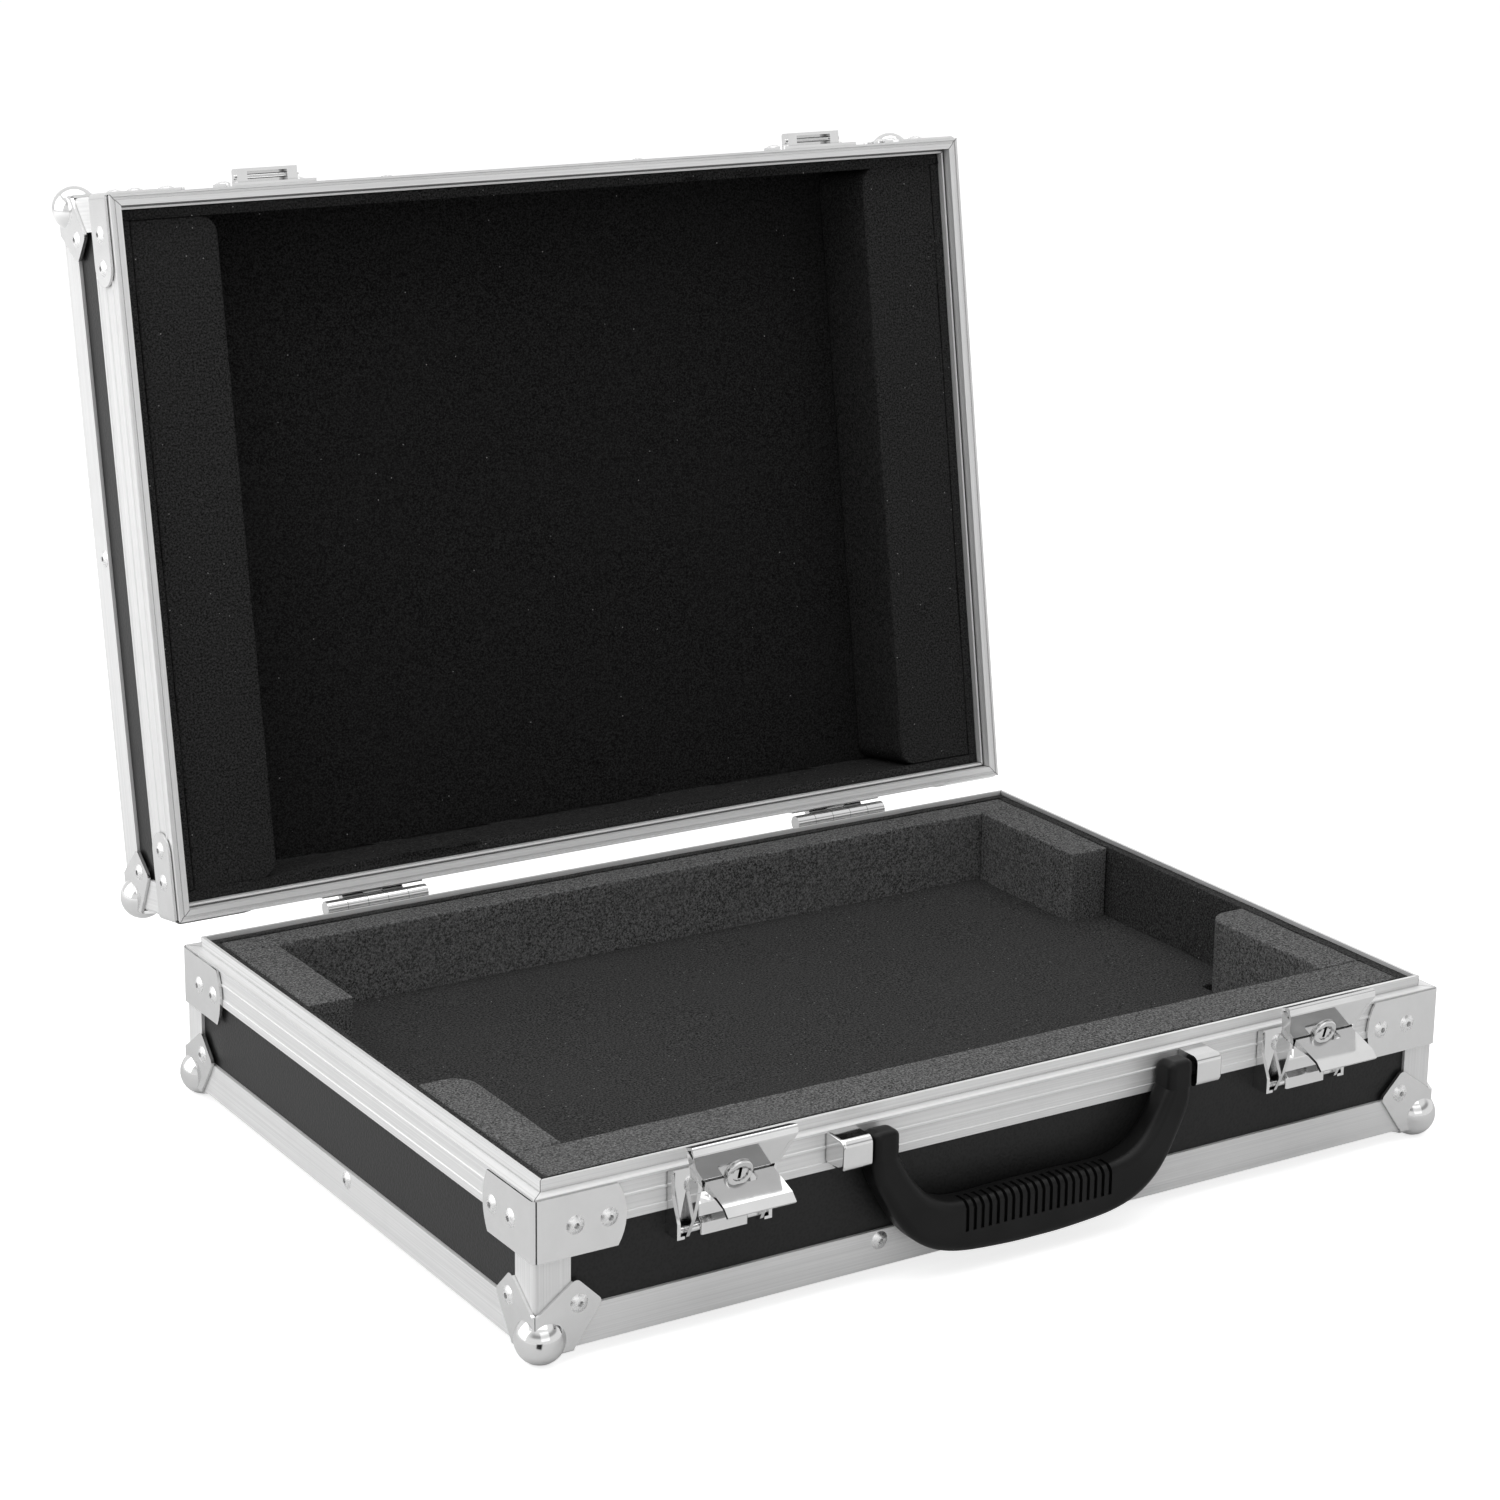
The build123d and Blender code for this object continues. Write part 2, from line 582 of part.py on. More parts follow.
def lever_pins():
    """Two short pins in the arms of the hook that carry the lever."""
    return rod(-17.1, -13.2, LEVER_OUT, LEVER_Z, 0.8) + rod(13.2, 17.1, LEVER_OUT, LEVER_Z, 0.8)


def latch_lever():
    """Latch lever folded down against the hook, as it is when fastened."""
    section = [(4.0, 25.9), (4.0, 8.0), (2.2, 4.2), (1.1, 4.7), (2.8, 8.4), (2.8, 25.9)]
    lever = across(upright(section), -15, 15)
    flange = across(upright([(4.0, 25.9), (4.0, 8.0), (0.8, 22.6), (0.8, 25.9)]), 13.8, 15.0)
    lever += flange + mirrored(flange)
    slot = block(-6.4, 6.4, FRONT - 12, FRONT - 4, PIVOT_Z + 18, PIVOT_Z + 27)
    lower = slot.edges().filter_by(Axis.Y).group_by(Axis.Z)[0]
    lever -= fillet(lower, 1.5)
    bore = rod(13, 20, LEVER_OUT, LEVER_Z, 0.8 + RUNNING)
    return lever - bore - mirrored(bore)


def lock_round(radius, n0, n1):
    """A disc on the lock's own axis, from n0 to n1 outward of the pivot pin."""
    middle = FRONT - PIVOT_OUT - (n0 + n1) / 2
    return Location((0, middle, LOCK_Z), (90, 0, 0)) * Cylinder(radius, n1 - n0)


def lock_barrel():
    """Housing of the key lock, riveted in the hook plate."""
    body = lock_round(4.5, -1.5, 4.0) + lock_round(LOCK_RIM, 4.0, 5.6)
    rim = body.edges().filter_by(GeomType.CIRCLE).sort_by(Axis.Y)[0]
    body = fillet(rim, 0.6)
    return body - lock_round(3.5 + RUNNING, -2.0, 8.0)


def lock_plug():
    """Turning plug of the key lock with its cam finger, keyhole upright."""
    plug = lock_round(3.5, -1.5, 5.0) + lock_round(4.2, -2.5, -1.5)
    finger = block(-11.5, 0, FRONT - PIVOT_OUT + 1.5, FRONT - PIVOT_OUT + 2.5, LOCK_Z - 1.5, LOCK_Z + 1.5)
    face = FRONT - PIVOT_OUT - 5.0
    keyhole = block(-0.7, 0.7, face - 1, face + 3.5, LOCK_Z - 2.6, LOCK_Z + 2.6)
    return plug + finger - keyhole


def keeper():
    """Keeper on the lid: a plate, and a box with a cross pin that is open towards the base."""
    plate = across([(0, 65), (1.5, 65), (1.5, 83), (0, 83)], -21.5, 21.5)
    ends = plate.edges().filter_by(Axis.Y)
    plate = fillet(ends, 2.0)
    box = across([(1.5, 70.5), (7.6, 70.5), (7.6, 75.4), (6.7, 76.3), (1.5, 76.3)], -14.4, 14.4)
    hollow = across([(1.5, 70), (6.2, 70), (6.2, 74.9), (1.5, 74.9)], -9.5, 9.5)
    pin = rod(-15.4, 15.4, 4.0, 72.6, 1.1)
    return plate + (box - hollow) + pin


def latches(parts, rivets):
    """The two latches, both standing open."""
    bases = []
    pins = []
    for side, x in (("left", -LATCH_X), ("right", LATCH_X)):
        at = Pos(x, 0, 0)
        bases.append(pierced(at * latch_base(), rivets))
        pins.append(at * latch_pin())
        lean = lambda piece: at * turned(piece, PIVOT_OUT, PIVOT_Z, LEAN)
        parts[f"latch_hook_{side}"] = lean(latch_hook())
        parts[f"lever_pins_{side}"] = lean(lever_pins())
        parts[f"lock_barrel_{side}"] = lean(lock_barrel())
        parts[f"lock_plug_{side}"] = lean(lock_plug())
        lever = turned(latch_lever(), LEVER_OUT, LEVER_Z, -LEVER_OPEN)
        parts[f"latch_lever_{side}"] = lean(lever)
    parts["latch_bases"] = bases
    parts["latch_pins"] = pins


# Hinges ---------------------------------------------------------------------------------


def rear(piece):
    """A piece drawn on the front wall, turned round to the rear wall."""
    return Rot(0, 0, 180) * piece


HINGE_OUT = HINGE_Y - DEPTH / 2
KNUCKLE_R = 3.5
BASE_KNUCKLES = ((-25, -15.2), (-4.9, 4.9), (15.2, 25))
LID_KNUCKLES = ((-15, -5.1), (5.1, 15))


def hinge_leaf(spans, plate, link):
    """A hinge leaf, drawn on the front wall: plate, knuckles and the links to them."""
    leaf = across(plate, -25, 25)
    for x0, x1 in spans:
        leaf += across(link, x0, x1) + rod(x0, x1, HINGE_OUT, HINGE_Z, KNUCKLE_R)
    return leaf


def base_leaf():
    """Leaf on the base, with the stop that holds the lid leaning back."""
    plate = [(0, 46.5), (1.5, 46.5), (1.5, 60), (0, 60)]
    link = [(0, 56), (1.5, 56), (7.5, 60.9), (6, 62.5), (3, 62.2), (0, 60)]
    leaf = hinge_leaf(BASE_KNUCKLES, plate, link)
    stop = across([(1.53, 66.2), (4, 66.2), (4, 69), (1.53, 69)], -4.9, 4.9)
    leaf += turned(stop, HINGE_OUT, HINGE_Z, OPENING)
    return leaf - rod(-30, 30, HINGE_OUT, HINGE_Z, 1.5)


def lid_leaf():
    """Leaf on the lid, lid shut."""
    plate = [(0, 66), (1.5, 66), (1.5, 81), (0, 81)]
    link = [(0, 72), (1.5, 72), (7.5, 67.1), (6, 65.5), (3, 65.8), (0, 68)]
    leaf = hinge_leaf(LID_KNUCKLES, plate, link)
    return leaf - rod(-30, 30, HINGE_OUT, HINGE_Z, 1.5 + RUNNING)


def hinges(parts, base_holes, lid_holes):
    """Two stop hinges on the rear wall."""
    places = [Pos(x, 0, 0) for x in (-HINGE_X, HINGE_X)]
    parts["hinge_base_leaves"] = [pierced(at * rear(base_leaf()), base_holes) for at in places]
    pin = rear(rod(-25, 25, HINGE_OUT, HINGE_Z, 1.5))
    parts["hinge_pins"] = [at * pin for at in places]
    return [pierced(at * rear(lid_leaf()), lid_holes) for at in places]


# The whole case -------------------------------------------------------------------------


def save(name, pieces):
    """Write one named part; repeated pieces share a file as separate solids."""
    pieces = pieces if isinstance(pieces, list) else [pieces]
    solids = [solid for piece in pieces for solid in piece.solids()]
    export_step(Compound(solids), f"parts/{name}.step")


base = {}
base_holes = base_rivets()
lid_holes = lid_rivets()
base_shell(base, base_holes)
base_fittings(base, base_holes)
base_foam(base)
base["handle_brackets"] = [handle_bracket(), mirrored(handle_bracket())]
base["handle"] = handle()
latches(base, base_holes)

lid = {}
lid["hinge_lid_leaves"] = hinges(base, base_holes, lid_holes)
lid_shell(lid, lid_holes)
lid_fittings(lid, lid_holes)
lid_foam(lid)

os.makedirs("parts", exist_ok=True)
for name, pieces in base.items():
    save(name, pieces)
for name, pieces in lid.items():
    pieces = pieces if isinstance(pieces, list) else [pieces]
    save(name, [opened(piece) for piece in pieces])
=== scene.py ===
import math

import bmesh
import bpy
from mathutils import Matrix, Vector, noise


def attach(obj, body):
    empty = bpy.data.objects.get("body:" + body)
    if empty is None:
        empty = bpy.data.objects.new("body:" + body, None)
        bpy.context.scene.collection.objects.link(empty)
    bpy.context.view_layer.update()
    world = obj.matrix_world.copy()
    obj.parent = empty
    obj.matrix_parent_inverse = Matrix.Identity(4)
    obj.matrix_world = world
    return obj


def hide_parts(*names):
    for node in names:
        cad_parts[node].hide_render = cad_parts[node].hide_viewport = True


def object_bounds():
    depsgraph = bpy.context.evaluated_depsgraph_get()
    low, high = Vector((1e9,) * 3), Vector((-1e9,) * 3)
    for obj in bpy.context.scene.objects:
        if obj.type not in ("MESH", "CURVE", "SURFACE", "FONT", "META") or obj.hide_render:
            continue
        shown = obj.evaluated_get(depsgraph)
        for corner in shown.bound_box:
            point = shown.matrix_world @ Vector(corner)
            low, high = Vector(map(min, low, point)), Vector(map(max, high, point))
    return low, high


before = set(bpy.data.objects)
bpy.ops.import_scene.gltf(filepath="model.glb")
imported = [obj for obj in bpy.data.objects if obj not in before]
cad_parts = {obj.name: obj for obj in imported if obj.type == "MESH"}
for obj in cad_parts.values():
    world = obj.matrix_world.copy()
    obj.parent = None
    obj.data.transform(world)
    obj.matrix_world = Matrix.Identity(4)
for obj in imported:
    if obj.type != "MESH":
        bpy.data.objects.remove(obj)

CAD_BOX = [list(corner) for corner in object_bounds()]

# Lengths are in metres: X to the right along the front, Y from front to back, Z up.
HALF_X = 0.220  # half the case's width over its extrusions
HALF_Y = 0.158  # half its depth

# The lid's pieces lie open in the frame. Textures and foam are laid out as if it were shut.
HINGE = Vector((0.0, 0.164, 0.064))
OPEN_TURN = math.radians(99.4)
SHUT = Matrix.Rotation(OPEN_TURN, 4, "X")
SHUT = Matrix.Translation(HINGE) @ SHUT @ Matrix.Translation(-HINGE)


# Node trees -----------------------------------------------------------------------------


class Wiring:
    """A node tree being wired, with one short call for each kind of node it uses."""

    def __init__(self, tree):
        self.tree = tree
        tree.nodes.clear()

    def connect(self, socket, value):
        """Links a socket to another node's output, or sets its value."""
        if isinstance(value, bpy.types.NodeSocket):
            self.tree.links.new(value, socket)
        else:
            socket.default_value = value

    def add(self, kind, inputs=(), **settings):
        """A new node. Inputs are set or linked by name or number."""
        node = self.tree.nodes.new("ShaderNode" + kind)
        for name, value in settings.items():
            setattr(node, name, value)
        for name, value in dict(inputs).items():
            self.connect(node.inputs[name], value)
        return node

    def math(self, operation, a, b=0.0, c=0.0):
        return self.add("Math", {0: a, 1: b, 2: c}, operation=operation).outputs[0]

    def mix(self, factor, a, b):
        """Colour a at factor 0 and colour b at factor 1."""
        settings = {"data_type": "RGBA", "clamp_factor": True}
        return self.add("Mix", {0: factor, 6: a, 7: b}, **settings).outputs[2]

    def mix_shaders(self, factor, a, b):
        """Shader a at factor 0 and shader b at factor 1."""
        return self.add("MixShader", {0: factor, 1: a, 2: b}).outputs[0]

    def ramp(self, value, low, high, to_low=0.0, to_high=1.0):
        """A value scaled from one range into another, and kept in it."""
        inputs = {0: value, 1: low, 2: high, 3: to_low, 4: to_high}
        return self.add("MapRange", inputs, clamp=True).outputs[0]

    def axes(self, vector):
        """The three parts of a vector."""
        return self.add("SeparateXYZ", {0: vector}).outputs

    def place(self, shut):
        """Position on the piece, with the lid swung shut where it is a lid's piece."""
        spot = self.add("TexCoord").outputs["Object"]
        if not shut:
            return spot
        turn = self.add("Mapping", {"Vector": spot}, vector_type="POINT")
        turn.inputs["Rotation"].default_value = (OPEN_TURN, 0, 0)
        turn.inputs["Location"].default_value = SHUT.to_translation()
        return turn.outputs[0]

    def stretch(self, spot, cells):
        """A position scaled on each axis, in cells per metre."""
        return self.add("VectorMath", {0: spot, 1: cells}, operation="MULTIPLY").outputs[0]

    def noise(self, spot, scale=1.0, detail=2.0, rough=0.5):
        inputs = {"Vector": spot, "Scale": scale, "Detail": detail, "Roughness": rough}
        return self.add("TexNoise", inputs).outputs[0]

    def painted_crevice_shade(self, reach, darkest):
        """Painted shade: 1 in the open, falling to the darkest value in corners and against other
        pieces.
        """
        open_sky = self.add("AmbientOcclusion", {"Distance": reach}, samples=8).outputs["AO"]
        return self.ramp(open_sky, 0.15, 0.65, darkest, 1.0)

    def shaded(self, colour, factor):
        """A colour scaled by a factor."""
        return self.add("VectorMath", {0: colour, 3: factor}, operation="SCALE").outputs[0]

    def bump(self, height, distance, strength):
        inputs = {"Height": height, "Distance": distance, "Strength": strength}
        return self.add("Bump", inputs).outputs[0]

    def finish(self, base, metallic, roughness, normal, specular=0.5):
        """The surface itself."""
        inputs = {
            "Base Color": base,
            "Metallic": metallic,
            "Roughness": roughness,
            "Normal": normal,
            "Specular IOR Level": specular,
        }
        shader = self.add("BsdfPrincipled", inputs).outputs[0]
        self.add("OutputMaterial", {"Surface": shader})


def material(name):
    """A new material and the wiring of its node tree."""
    made = bpy.data.materials.new(name)
    made.use_nodes = True
    return made, Wiring(made.node_tree)


def grey(value):
    return (value, value, value, 1.0)


# Materials ------------------------------------------------------------------------------


STREAK_FINE = 1500.0  # cells per metre across the streaks of an extrusion
STREAK_LONG = 5.0  # and along them
STREAK_CELLS = {
    "x": (STREAK_LONG, STREAK_FINE, STREAK_FINE),
    "y": (STREAK_FINE, STREAK_LONG, STREAK_FINE),
    "z": (STREAK_FINE, STREAK_FINE, STREAK_LONG),
}


def streaks_along(w, spot, run):
    """Noise drawn out into long fine streaks along one axis."""
    return w.noise(w.stretch(spot, STREAK_CELLS[run]), detail=3.0, rough=0.6)


def in_from_sides(w, spot):
    """How far a place lies inward of the case's nearer side, and of its front or back."""
    axes = w.axes(spot)
    from_side = w.math("SUBTRACT", HALF_X, w.math("ABSOLUTE", axes[0]))
    from_front = w.math("SUBTRACT", HALF_Y, w.math("ABSOLUTE", axes[1]))
    return from_side, from_front


def drawn_along(w, spot, run):
    """Streaks along the way an extrusion was pressed, or round the case along each edge."""
    if run != "edges":
        return streaks_along(w, spot, run)
    from_side, from_front = in_from_sides(w, spot)
    on_side = w.math("LESS_THAN", from_side, from_front)
    return w.mix(on_side, streaks_along(w, spot, "x"), streaks_along(w, spot, "y"))


def mitre(w, spot):
    """1 on the hairline where two mitred extrusions meet at a corner, and 0 elsewhere."""
    from_side, from_front = in_from_sides(w, spot)
    apart = w.math("ABSOLUTE", w.math("SUBTRACT", from_side, from_front))
    near = w.ramp(apart, 0.00018, 0.0003, 1.0, 0.0)
    return w.math("MULTIPLY", near, w.math("LESS_THAN", from_side, 0.02))


def aluminium(name, run, shut):
    """Satin anodised extrusion: pale, with lengthwise die lines and faint handling marks."""
    made, w = material(name)
    spot = w.place(shut)
    streaks = drawn_along(w, spot, run)
    clouds = w.noise(spot, 38.0, 4.0, 0.6)
    base = w.mix(w.ramp(streaks, 0.3, 0.7), grey(0.67), grey(0.81))
    base = w.mix(w.ramp(clouds, 0.5, 0.8, 0.0, 0.3), base, grey(0.63))
    if run != "z":
        base = w.mix(w.math("MULTIPLY", mitre(w, spot), 0.8), base, grey(0.05))
    # Painted shade: the colour darkens in corners and against other pieces.
    base = w.shaded(base, w.painted_crevice_shade(0.0025, 0.15))
    rough = w.math("MULTIPLY_ADD", clouds, 0.1, 0.36)
    rough = w.math("MULTIPLY_ADD", streaks, 0.14, rough)
    w.finish(base, 0.4, rough, w.bump(streaks, 0.00003, 0.3))
    return made


def chrome(name):
    """Bright chromed steel, a little wavy where it was folded, with faint smears."""
    made, w = material(name)
    spot = w.place(False)
    wave = w.noise(spot, 55.0, 1.0, 0.4)
    smear = w.noise(spot, 90.0, 4.0, 0.65)
    rough = w.ramp(smear, 0.3, 0.8, 0.07, 0.16)
    base = w.mix(w.ramp(smear, 0.3, 0.8), grey(0.66), grey(0.71))
    # Painted shade: the colour darkens in corners and against other pieces.
    base = w.shaded(base, w.painted_crevice_shade(0.002, 0.08))
    w.finish(base, 1.0, rough, w.bump(wave, 0.0005, 0.3))
    return made


def rivet_metal(name):
    """Aluminium blind rivets, slightly dull."""
    made, w = material(name)
    spot = w.place(False)
    grain = w.noise(spot, 900.0, 3.0, 0.6)
    base = w.mix(w.ramp(grain, 0.35, 0.65), grey(0.66), grey(0.8))
    # Painted shade: the colour darkens in corners and against other pieces.
    base = w.shaded(base, w.painted_crevice_shade(0.0012, 0.08))
    rough = w.ramp(grain, 0.3, 0.7, 0.2, 0.36)
    w.finish(base, 0.8, rough, w.bump(grain, 0.00004, 0.5))
    return made


def laminate(name, shut):
    """Black laminate with a fine pebbled face."""
    made, w = material(name)
    spot = w.place(shut)
    cells = {"Vector": spot, "Scale": 850.0, "Smoothness": 0.6}
    pebbles = w.add("TexVoronoi", cells, feature="SMOOTH_F1").outputs["Distance"]
    wide = w.noise(spot, 14.0, 4.0, 0.6)
    fine = w.noise(spot, 1900.0, 2.0, 0.5)
    base = w.mix(w.ramp(pebbles, 0.1, 0.6), grey(0.006), grey(0.013))
    base = w.mix(w.ramp(wide, 0.45, 0.7, 0.0, 0.3), base, grey(0.017))
    rough = w.math("MULTIPLY_ADD", fine, 0.18, 0.36)
    w.finish(base, 0.0, rough, w.bump(pebbles, 0.00012, 0.6), specular=0.24)
    return made


def specks_in(w, spot, share):
    """1 on the pale dots in this share of the foam's coarse cells, and 0 elsewhere."""
    cells = w.add("TexVoronoi", {"Vector": spot, "Scale": 260.0}, feature="F1")
    lot = w.add("SeparateColor", {0: cells.outputs["Color"]}).outputs[0]
    chosen = w.math("LESS_THAN", lot, share)
    dot = w.math("LESS_THAN", cells.outputs["Distance"], 0.07)
    return w.math("MULTIPLY", chosen, dot)


def foam(name, shut, painted_light_tone, specks=0.3):
    """Charcoal open-celled foam, grainy and dull, with a few pale specks, in a tone that paints
    light and shade: lighter copies stand for lit faces, darker ones for shaded faces.
    """
    made, w = material(name)
    spot = w.place(shut)
    cells = w.add("TexVoronoi", {"Vector": spot, "Scale": 1300.0}, feature="F1")
    pores = cells.outputs["Distance"]
    grain = w.noise(spot, 1100.0, 3.0, 0.75)
    wide = w.noise(spot, 22.0, 3.0, 0.55)
    base = w.mix(w.ramp(grain, 0.38, 0.64), grey(0.25 * painted_light_tone), grey(2.2 * painted_light_tone))
    base = w.mix(w.ramp(pores, 0.0, 0.45, 0.7, 0.0), base, grey(0.15 * painted_light_tone))
    base = w.mix(w.ramp(wide, 0.4, 0.7, 0.0, 0.25), base, grey(1.3 * painted_light_tone))
    base = w.mix(specks_in(w, spot, specks), base, grey(0.3))
    height = w.math("MULTIPLY_ADD", grain, 0.6, w.math("MULTIPLY", pores, 0.5))
    w.finish(base, 0.0, 0.95, w.bump(height, 0.0004, 0.7), specular=0.04)
    return made


def moulded(name):
    """Matte black moulded plastic with a fine leathery skin."""
    made, w = material(name)
    spot = w.place(False)
    skin = w.noise(spot, 1100.0, 3.0, 0.6)
    wide = w.noise(spot, 40.0, 3.0, 0.5)
    base = w.mix(w.ramp(wide, 0.35, 0.7), grey(0.004), grey(0.008))
    rough = w.math("MULTIPLY_ADD", wide, 0.12, 0.34)
    w.finish(base, 0.0, rough, w.bump(skin, 0.00006, 0.5), specular=0.16)
    return made


# Which CAD nodes get which material -----------------------------------------------------


def dress(made, *nodes):
    """Every slot of these CAD nodes' objects gets this material."""
    for node in nodes:
        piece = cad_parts[node]
        if not piece.data.materials:
            piece.data.materials.append(made)
        for slot in piece.material_slots:
            slot.link = "OBJECT"
            slot.material = made


def dress_tray(part, chromed, riveted):
    """Panels, extrusions and corner fittings of the base or the lid."""
    shut = part == "lid"
    flat = "top" if shut else "bottom"
    panels = laminate(f"laminate_{part}", shut)
    dress(panels, *(f"{part}_{side}_panel" for side in ("front", "back", "left", "right", flat)))
    along_x = aluminium(f"extrusion_{part}_x", "x", shut)
    dress(along_x, f"{part}_front_rim", f"{part}_back_rim")
    along_y = aluminium(f"extrusion_{part}_y", "y", shut)
    dress(along_y, f"{part}_left_rim", f"{part}_right_rim")
    dress(aluminium(f"extrusion_{part}_z", "z", shut), f"{part}_corner_angles")
    dress(aluminium(f"extrusion_{part}_edges", "edges", shut), f"{part}_{flat}_angles")
    dress(chromed, f"{part}_corner_braces", f"{part}_ball_corners")
    dress(riveted, f"{part}_rivets")


def dress_frame():
    """All the visible CAD pieces."""
    chromed = chrome("chromed_steel")
    riveted = rivet_metal("rivet_metal")
    dress_tray("base", chromed, riveted)
    dress_tray("lid", chromed, riveted)
    dress(chromed, "handle_brackets", "latch_bases", "latch_pins", "lid_keepers")
    dress(chromed, "hinge_base_leaves", "hinge_lid_leaves", "hinge_pins")
    for side in ("left", "right"):
        dress(chromed, f"latch_hook_{side}", f"latch_lever_{side}", f"lever_pins_{side}")
        dress(chromed, f"lock_barrel_{side}", f"lock_plug_{side}")
    dress(moulded("moulded_grip"), "handle")


# Foam -----------------------------------------------------------------------------------


SAME_PLACE = 1e-6  # corners nearer than this are one
SAME_FACE = 0.02  # faces that meet at less than this angle are one, in radians
CUT_EDGE = 0.6  # faces that meet at more than this angle make a cut edge, in radians
EDGE_ROUNDING = 0.0011
CUT_SPACING = 0.006  # cuts across the faces, so they can be uneven
SINKING = 0.00035  # how far the faces have sunk, about


def sunken(spot):
    """How far the foam's face has sunk at a place, in slow waves with quicker ones on them."""
    slow = noise.noise(spot * 45.0)
    quick = noise.noise(spot * 160.0 + Vector((7.0, 3.0, 5.0)))
    return SINKING * (0.55 + 0.7 * slow + 0.3 * quick)


def round_edges(shape):
    """Joins what is flat and rounds every cut edge."""
    bmesh.ops.remove_doubles(shape, verts=shape.verts, dist=SAME_PLACE)
    bmesh.ops.dissolve_limit(shape, angle_limit=SAME_FACE, verts=shape.verts, edges=shape.edges)
    cut = [e for e in shape.edges if len(e.link_faces) == 2 and e.calc_face_angle(0) > CUT_EDGE]
    rounding = {"offset": EDGE_ROUNDING, "segments": 3, "profile": 0.5, "affect": "EDGES"}
    bmesh.ops.bevel(shape, geom=cut, clamp_overlap=True, **rounding)


def cut_up(shape):
    """Cuts the whole mesh by evenly spaced planes on all three axes."""
    for axis in range(3):
        low = min(v.co[axis] for v in shape.verts)
        high = max(v.co[axis] for v in shape.verts)
        count = max(2, round((high - low) / CUT_SPACING))
        across = Vector((0, 0, 0))
        across[axis] = 1
        for step in range(1, count):
            at = across * (low + (high - low) * step / count)
            geom = shape.verts[:] + shape.edges[:] + shape.faces[:]
            bmesh.ops.bisect_plane(shape, geom=geom, plane_co=at, plane_no=across, dist=SAME_PLACE)


def foam_mesh(node, shut):
    """The foam of one CAD node, with soft edges and a slightly uneven, sunken face."""
    shape = bmesh.new()
    shape.from_mesh(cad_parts[node].data)
    if shut:
        bmesh.ops.transform(shape, matrix=SHUT, verts=shape.verts)
    round_edges(shape)
    cut_up(shape)
    shape.normal_update()
    for vert in shape.verts:
        vert.co -= vert.normal * sunken(vert.co)
    if shut:
        bmesh.ops.transform(shape, matrix=SHUT.inverted(), verts=shape.verts)
    mesh = bpy.data.meshes.new("foam_" + node)
    shape.to_mesh(mesh)
    shape.free()
    mesh.shade_smooth()
    return mesh


def foam_pieces(body, made, *nodes):
    """Soft foam pieces on a body, each in the place of its CAD node."""
    for node in nodes:
        mesh = foam_mesh(node, body == "lid")
        mesh.materials.append(made)
        piece = put("foam_" + node, mesh)
        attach(piece, body)
        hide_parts(node)


def lay_foam():
    """All the foam of the base and the lid."""
    # One foam in lit and shaded copies: the base strips and blocks lighter as painted light from
    # above, the base lining darker as painted shade.
    strips = foam("foam_strips", False, 0.095)
    foam_pieces("base", strips, "base_front_strip", "base_rear_strip")
    foam_pieces("base", strips, "base_left_front_block", "base_left_rear_block")
    foam_pieces("base", strips, "base_right_front_block", "base_right_rear_block")
    lining = foam("foam_lining", False, 0.036)
    foam_pieces("base", lining, "base_foam_lining", "base_bottom_pad")
    # The lid's foam is darker still as painted shade inside the open lid, and its back lining
    # darkest.
    lid = foam("foam_lid", True, 0.023)
    back = foam("foam_lid_back", True, 0.013, specks=0.1)
    foam_pieces("lid", lid, "lid_foam_lining")
    foam_pieces("lid", back, "lid_back_lining")
    foam_pieces("lid", lid, "lid_left_block", "lid_right_block")


# Studio ---------------------------------------------------------------------------------


CAMERA_PLACE = (-0.8045773, -1.2283970, 0.6032781)
CAMERA_TURN = (74.0953398, -0.9099047, -32.6017643)  # degrees about X, Y and Z
CAMERA_LENS = 86.546  # millimetres, on a sensor 36 wide
CAMERA_SHIFT = (-0.025634, -0.038949)

CASE_MIDDLE = Vector((0, 0, 0.1))
LAMPS = (  # name, place, size and power in watts
    ("overhead", (-0.3, 0.1, 2.3), (3.2, 3.2), 52.0),
    ("left_back", (-2.0, 1.0, 0.9), (2.4, 1.6), 19.0),
    ("front", (-0.3, -2.6, 1.4), (2.0, 2.0), 7.0),
)

SOFT_LIGHT = 0.4  # strength of the surround as a lamp
BAND_GREY = 0.42  # grey of the darker band ahead of the case that only mirrored rays see, a painted reflection
FLOOR_REACH = 15.0
FLOOR_GREY = 0.65
FLOOR_SEEN = 0.75  # the floor's own glow for the eye
DARK_REFLECTION_TURN = 119.4  # degrees the painted dark reflection patch lies round from the left front corner
DARK_REFLECTION_START = 0.02  # how far ahead of the corner it starts


def put(name, data):
    """A new object in the scene."""
    placed = bpy.data.objects.new(name, data)
    bpy.context.scene.collection.objects.link(placed)
    return placed


def add_camera():
    """The camera, with a long lens, looking down on the left front corner."""
    data = bpy.data.cameras.new("camera")
    data.sensor_width = 36.0
    data.lens = CAMERA_LENS
    data.shift_x, data.shift_y = CAMERA_SHIFT
    data.clip_end = 100.0
    camera = put("camera", data)
    camera.location = CAMERA_PLACE
    camera.rotation_euler = [math.radians(turn) for turn in CAMERA_TURN]
    bpy.context.scene.camera = camera


def add_lamps():
    """Large soft lamps, all aimed at the case."""
    for name, place, size, power in LAMPS:
        data = bpy.data.lights.new(name, "AREA")
        data.shape = "RECTANGLE"
        data.size, data.size_y = size
        data.energy = power
        lamp = put(name, data)
        lamp.location = place
        aim = CASE_MIDDLE - Vector(place)
        lamp.rotation_euler = aim.to_track_quat("-Z", "Y").to_euler()


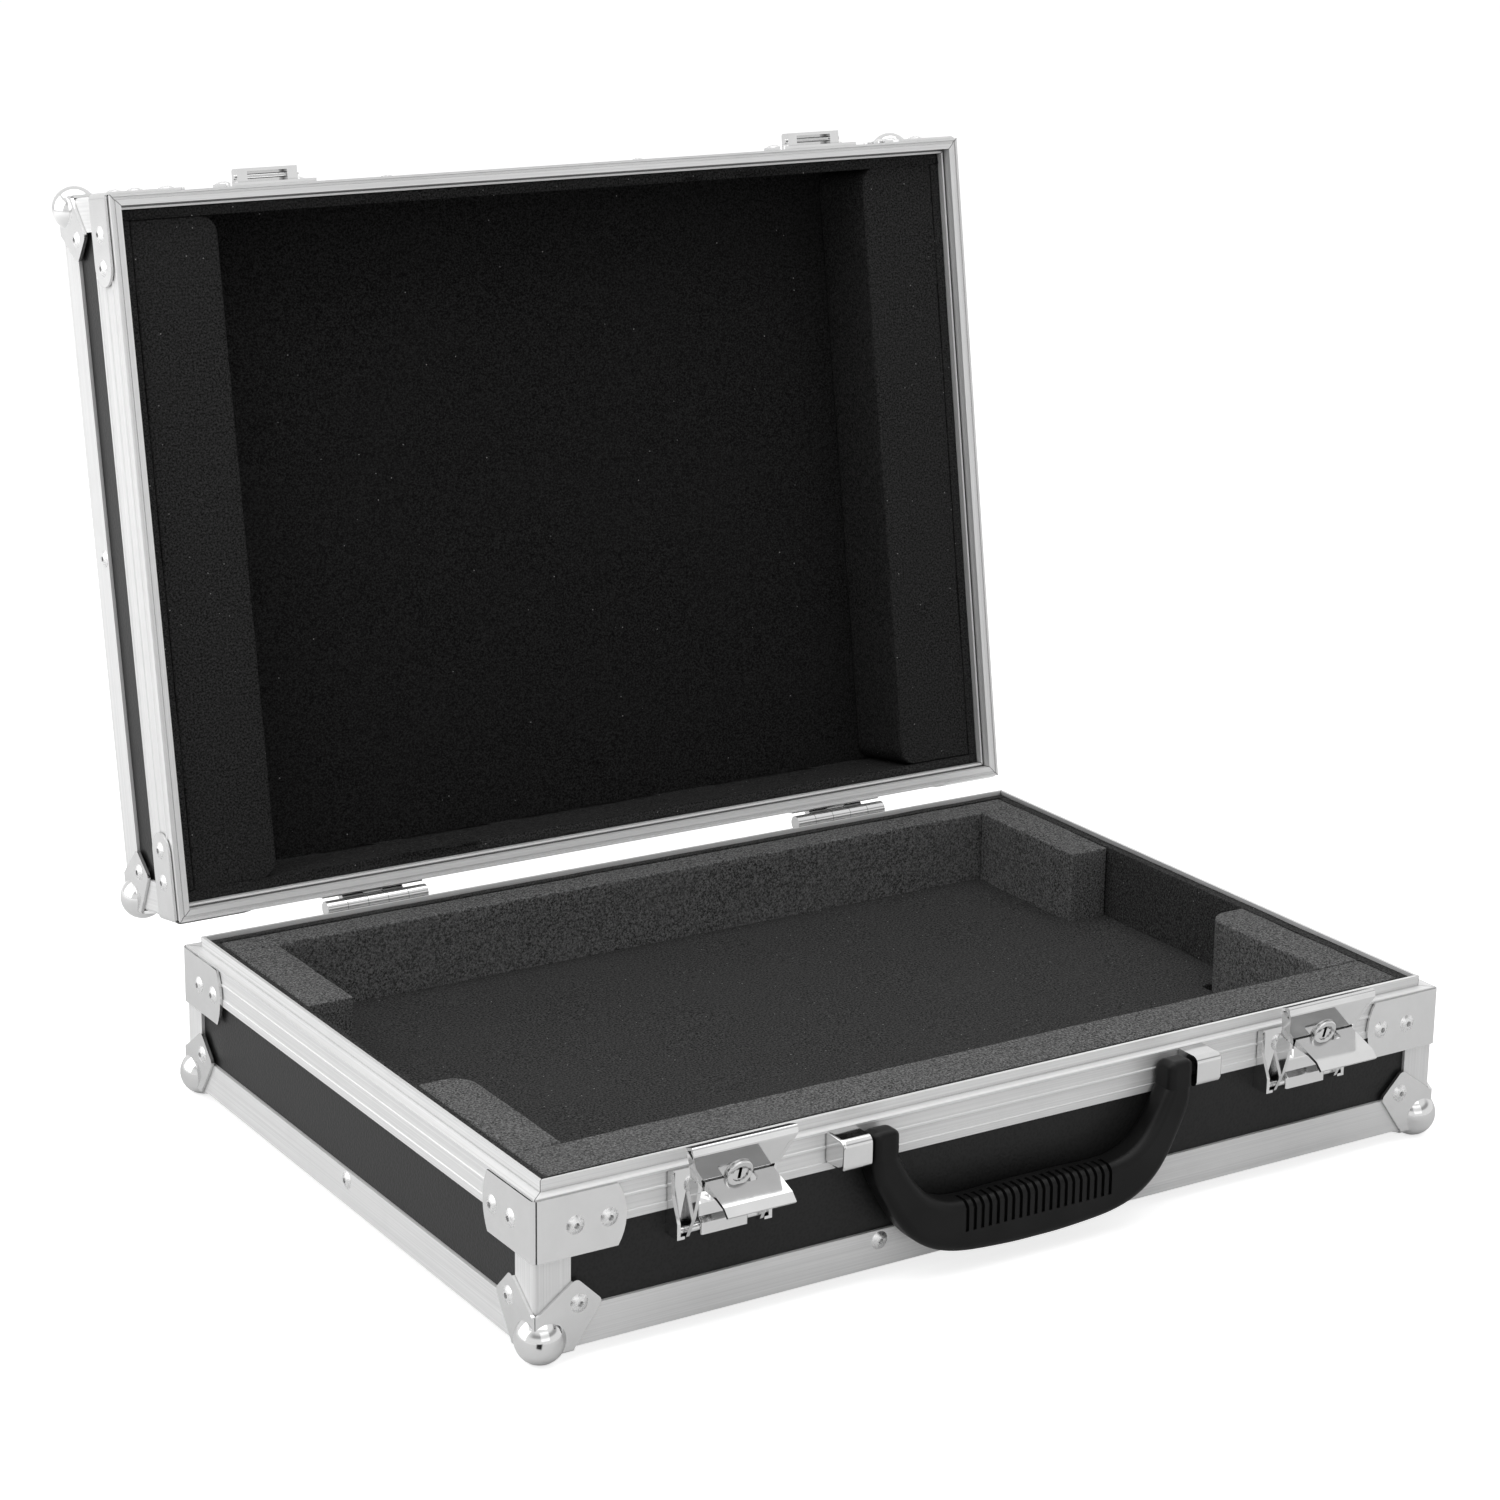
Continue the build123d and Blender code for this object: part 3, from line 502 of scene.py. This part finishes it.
def mirrored_rays(w, path):
    """1 for rays that bounced off or went through polished pieces."""
    return w.math("MAXIMUM", path.outputs["Is Glossy Ray"], path.outputs["Is Transmission Ray"])


def painted_reflection_band(w):
    """1 on a level band of the surround ahead of the case, darkened for mirrored rays only as a
    painted reflection in its latches.
    """
    way = w.axes(w.add("TexCoord").outputs["Generated"])
    ahead = w.ramp(w.math("MULTIPLY", way[1], -1.0), 0.05, 0.45)
    level = w.math("MULTIPLY", w.ramp(way[2], 0.32, 0.42), w.ramp(way[2], 0.66, 0.54))
    return w.math("MULTIPLY", ahead, level)


def add_world():
    """Soft even light, and a white surround for the eye and for polished metal, which alone sees a
    painted darker band ahead of the case.
    """
    world = bpy.data.worlds.new("studio")
    bpy.context.scene.world = world
    world.use_nodes = True
    w = Wiring(world.node_tree)
    path = w.add("LightPath")
    seen = w.math("MAXIMUM", path.outputs["Is Camera Ray"], mirrored_rays(w, path))
    soft = w.add("Background", {"Color": grey(1.0), "Strength": SOFT_LIGHT}).outputs[0]
    # Painted reflection: only glossy rays see the darker band.
    band_in_reflections = w.math("MULTIPLY", painted_reflection_band(w), path.outputs["Is Glossy Ray"])
    shade = w.mix(band_in_reflections, grey(1.0), grey(BAND_GREY))
    white = w.add("Background", {"Color": shade, "Strength": 1.0}).outputs[0]
    w.add("OutputWorld", {"Surface": w.mix_shaders(seen, soft, white)})


def painted_dark_reflection(w):
    """1 on a narrow patch of floor before the left front corner, black to mirrored rays only: a
    painted dark reflection in its chrome.
    """
    axes = w.axes(w.add("TexCoord").outputs["Object"])
    across = w.math("ADD", axes[0], HALF_X)
    along = w.math("ADD", axes[1], HALF_Y)
    turn = w.math("ADD", w.math("ARCTAN2", along, across), math.radians(DARK_REFLECTION_TURN))
    width = w.ramp(w.math("ABSOLUTE", turn), math.radians(9), math.radians(15), 1.0, 0.0)
    return w.math("MULTIPLY", width, w.ramp(along, -DARK_REFLECTION_START, -DARK_REFLECTION_START - 0.01))


def floor_material():
    """White that takes the shadow, and shines less in polished metal the nearer it is."""
    made, w = material("floor_white")
    path = w.add("LightPath")
    spot = w.add("TexCoord").outputs["Object"]
    away = w.add("VectorMath", {0: spot}, operation="LENGTH").outputs["Value"]
    mirrored = w.math("MULTIPLY", mirrored_rays(w, path), w.ramp(away, 0.4, 1.4, 0.12, 0.6))
    strength = w.math("MULTIPLY_ADD", path.outputs["Is Camera Ray"], FLOOR_SEEN, mirrored)
    matte = w.add("BsdfDiffuse", {"Color": grey(FLOOR_GREY)}).outputs[0]
    glow = w.add("Emission", {"Color": grey(1.0), "Strength": strength}).outputs[0]
    white = w.add("AddShader", {0: matte, 1: glow}).outputs[0]
    black = w.add("BsdfDiffuse", {"Color": grey(0.03)}).outputs[0]
    # Painted reflection: only glossy rays see this floor patch, as black.
    dark_reflection_mask = w.math("MULTIPLY", painted_dark_reflection(w), path.outputs["Is Glossy Ray"])
    w.add("OutputMaterial", {"Surface": w.mix_shaders(dark_reflection_mask, white, black)})
    return made


def add_floor():
    """The white floor the case stands on."""
    bottom = CAD_BOX[0][2]
    mesh = bpy.data.meshes.new("floor")
    quarters = ((-1, -1), (1, -1), (1, 1), (-1, 1))
    corners = [(x * FLOOR_REACH, y * FLOOR_REACH, bottom) for x, y in quarters]
    mesh.from_pydata(corners, [], [(0, 1, 2, 3)])
    mesh.materials.append(floor_material())
    put("floor", mesh)


dress_frame()
lay_foam()
add_world()
add_floor()
add_lamps()
add_camera()
bpy.context.scene.view_settings.view_transform = "Standard"
